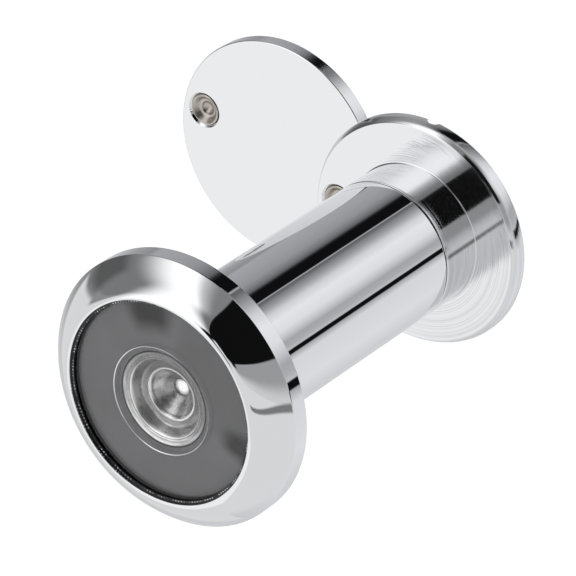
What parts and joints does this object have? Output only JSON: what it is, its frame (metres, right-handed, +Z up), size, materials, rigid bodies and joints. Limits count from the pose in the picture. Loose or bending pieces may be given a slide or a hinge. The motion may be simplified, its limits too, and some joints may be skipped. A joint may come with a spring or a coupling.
{
  "type": "door viewer",
  "caption": "Screw-together door viewer: wide-angle lens head on a threaded tube, slotted inner flange and a riveted swing privacy cover.",
  "frame": {"origin": "on the tube's axis, in the plane where the head seats on the door's street face", "axes": "+Y along the tube from the street side to the room side, +Z up, +X to the right as seen from the street"},
  "size_m": [0.0413, 0.0464, 0.0271],
  "materials": {
    "chrome_plate": "polished chrome plate on brass",
    "chrome_turned": "chrome plate over fine lathe marks on brass",
    "nickel_rivet": "nickel plate, set by a flaring punch",
    "spring_bronze": "stamped phosphor bronze",
    "turned_aluminium": "bright turned",
    "optical_glass": "polished clear crown glass",
    "graphite_mask": "moulded graphite-grey plastic",
    "blackened_ring": "moulded black plastic, matt",
    "seal_rubber": "black nitrile rubber"
  },
  "bodies": {
    "outer_tube": {"outer_barrel": "chrome_plate", "window_seal": "seal_rubber", "window_glass": "optical_glass", "light_mask": "graphite_mask", "front_spacer": "turned_aluminium", "objective_lens": "optical_glass", "field_stop": "blackened_ring", "second_lens": "optical_glass", "rear_spacer": "blackened_ring", "objective_ring": "blackened_ring"},
    "eyepiece": {"eyepiece_lens": "optical_glass", "eyepiece_washer": "seal_rubber"},
    "inner_tube": {"inner_barrel": "chrome_turned", "eyepiece_ring": "blackened_ring", "pivot_washer": "spring_bronze", "spring_washer": "spring_bronze", "pivot_rivet": "nickel_rivet"},
    "cover": {"privacy_cover": "chrome_plate", "cover_knob": "chrome_plate"}
  },
  "joints": [
    {"name": "barrel_reach", "type": "slide", "parent": "outer_tube", "child": "eyepiece", "axis": [0, 1, 0], "range_m": [0, 0.016]},
    {"name": "barrel_screw", "type": "hinge", "parent": "eyepiece", "child": "inner_tube", "pos_m": [0, 0, 0], "axis": [0, 1, 0], "range_deg": [0, 5760]},
    {"name": "cover_swing", "type": "hinge", "parent": "inner_tube", "child": "cover", "pos_m": [-0.00867, 0.0367, 0.00076], "axis": [0, 1, 0], "continuous": true}
  ],
  "couplings": [
    {"joint": "barrel_reach", "follows": "barrel_screw", "m_per_rad": 0.00015915}
  ]
}
